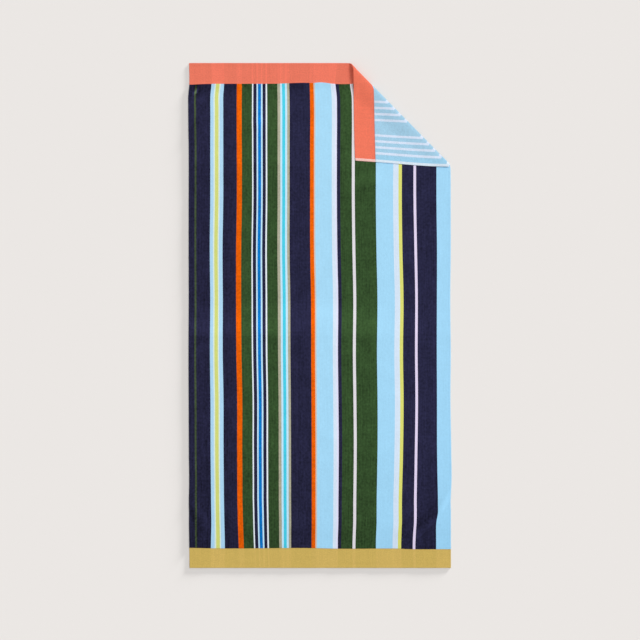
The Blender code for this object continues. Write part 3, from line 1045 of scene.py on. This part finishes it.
def one_stitch():
    """A stitch along +y on the origin, whose ends dip into the cloth."""
    bpy.ops.mesh.primitive_uv_sphere_add(segments=6, ring_count=6, radius=0.5)
    stitch = bpy.context.object
    stitch.name = "stitch"
    bpy.ops.object.mode_set(mode="EDIT")
    bpy.ops.transform.rotate(value=pi / 2, orient_axis="X", center_override=(0, 0, 0))
    bpy.ops.transform.resize(value=(STITCH_WIDTH, STITCH_LENGTH, STITCH_HEIGHT))
    bpy.ops.object.mode_set(mode="OBJECT")
    for vert in stitch.data.vertices:
        vert.co.z -= STITCH_DIP * (2 * vert.co.y / STITCH_LENGTH) ** 2
    return stitch


def seam(stitch, start, end, on_face):
    """Stitches from start to end of a line on the flat cloth, laid with it."""
    start = np.array(start)
    along = np.array(end) - start
    count = round(np.linalg.norm(along) / STITCH_PITCH)
    shape = read(stitch.data.vertices, "co", 3)
    direction = along / np.linalg.norm(along)
    across = np.array((direction[1], -direction[0]))
    centres = start + np.outer((np.arange(count) + 0.5) / count, along)
    local = np.outer(shape[:, 0], across) + np.outer(shape[:, 1], direction)
    flat = (centres[:, None, :] + local[None, :, :]).reshape(-1, 2)
    return laid(flat, on_face, np.tile(shape[:, 2], count)), count


def stitching(name, seams):
    """One piece with the stitches of several seams, each with its thread."""
    stitch = one_stitch()
    faces = [tuple(face.vertices) for face in stitch.data.polygons]
    size = len(stitch.data.vertices)
    points = []
    polygons = []
    threads = []
    total = 0
    for thread, on_face, start, end in seams:
        laid_stitches, count = seam(stitch, start, end, on_face)
        points.append(laid_stitches)
        outward = faces if on_face else [face[::-1] for face in faces]
        for first in range(total * size, (total + count) * size, size):
            polygons += [tuple(first + vert for vert in face) for face in outward]
        threads += [thread] * (count * len(faces))
        total += count
    made = bpy.data.meshes.new(name)
    made.from_pydata(np.concatenate(points).tolist(), [], polygons)
    made.polygons.foreach_set("material_index", threads)
    for material, yarn in THREADS_DYED.items():
        made.materials.append(thread_material(material, yarn))
    made.shade_smooth()
    bpy.data.objects.remove(stitch)
    piece = bpy.data.objects.new(name, made)
    bpy.context.collection.objects.link(piece)
    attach(piece, "root")
    return piece


# Each seam ends a little short of the towel's edge
seam_x = WIDTH / 2 - SEAM_ENDS
seam_y = LENGTH / 2 - SEAM_ENDS
side_x = WIDTH / 2 - SIDE_SEAM
end_y = LENGTH / 2 - END_SEAM
side_stitches = stitching(
    "side_hem_stitches",
    [(WHITE_THREAD, False, (x, -seam_y), (x, seam_y)) for x in (-side_x, side_x)],
)
end_stitches = stitching(
    "end_hem_stitches",
    [
        (thread, on_face, (-seam_x, y), (seam_x, y))
        for thread, y in ((CORAL_THREAD, end_y), (MUSTARD_THREAD, -end_y))
        for on_face in (False, True)
    ],
)


# Floor and light. A pale, matt floor under a soft studio light, brightest from beyond the
# folded corner. A low light from the same side reaches the floor alone, and draws the
# towel's soft shadow on it.

FLOOR_SIZE = 12.0
FLOOR_COLOUR = (0.665, 0.640, 0.621, 1.0)
SKY_LIGHT = 0.60
Sun = namedtuple("Sun", "name light elevation azimuth softness")
MAIN_SUN = Sun("main_sun", light=0.40, elevation=52, azimuth=38, softness=22)
FLOOR_SUN = Sun("floor_sun", light=0.25, elevation=3.8, azimuth=51, softness=4.8)
SUN_AWAY = 3.0

bpy.ops.mesh.primitive_plane_add(size=FLOOR_SIZE, location=(0, 0, 0))
floor = bpy.context.object
floor.name = "floor"
floor_material = bpy.data.materials.new("pale_floor")
floor_material.use_nodes = True
floor_shader = floor_material.node_tree.nodes["Principled BSDF"]
floor_shader.inputs["Base Color"].default_value = FLOOR_COLOUR
floor_shader.inputs["Roughness"].default_value = 1.0
floor_shader.inputs["Specular IOR Level"].default_value = 0.0
floor.data.materials.append(floor_material)


def sunlight(sun):
    """A distant light that gives level ground its share of the light."""
    level = cos(radians(sun.elevation))
    towards = Vector((
        level * cos(radians(sun.azimuth)),
        level * sin(radians(sun.azimuth)),
        sin(radians(sun.elevation)),
    ))
    data = bpy.data.lights.new(sun.name, "SUN")
    data.energy = sun.light * pi / towards.z
    data.angle = radians(sun.softness)
    light = bpy.data.objects.new(sun.name, data)
    bpy.context.collection.objects.link(light)
    light.location = towards * SUN_AWAY
    light.rotation_euler = towards.to_track_quat("Z", "Y").to_euler()
    return light


sunlight(MAIN_SUN)
floor_only = bpy.data.collections.new("floor_only")
floor_only.objects.link(floor)
sunlight(FLOOR_SUN).light_linking.receiver_collection = floor_only

world = bpy.data.worlds.new("studio")
world.use_nodes = True
world.node_tree.nodes["Background"].inputs["Color"].default_value = (1, 1, 1, 1)
world.node_tree.nodes["Background"].inputs["Strength"].default_value = SKY_LIGHT
bpy.context.scene.world = world


# Camera. It looks straight down on the towel, from far enough off for its sides to stay
# straight and parallel.

VIEW_WIDTH = 2.2065
CAMERA_HEIGHT = 5.0
CAMERA_PLACE = (0.00155, -0.01555)
SENSOR = 36.0

camera = bpy.data.objects.new("camera", bpy.data.cameras.new("camera"))
bpy.context.collection.objects.link(camera)
camera.data.sensor_width = SENSOR
camera.data.lens = SENSOR * CAMERA_HEIGHT / VIEW_WIDTH
camera.location = (*CAMERA_PLACE, CAMERA_HEIGHT)
bpy.context.scene.camera = camera
bpy.context.scene.view_settings.view_transform = "Standard"
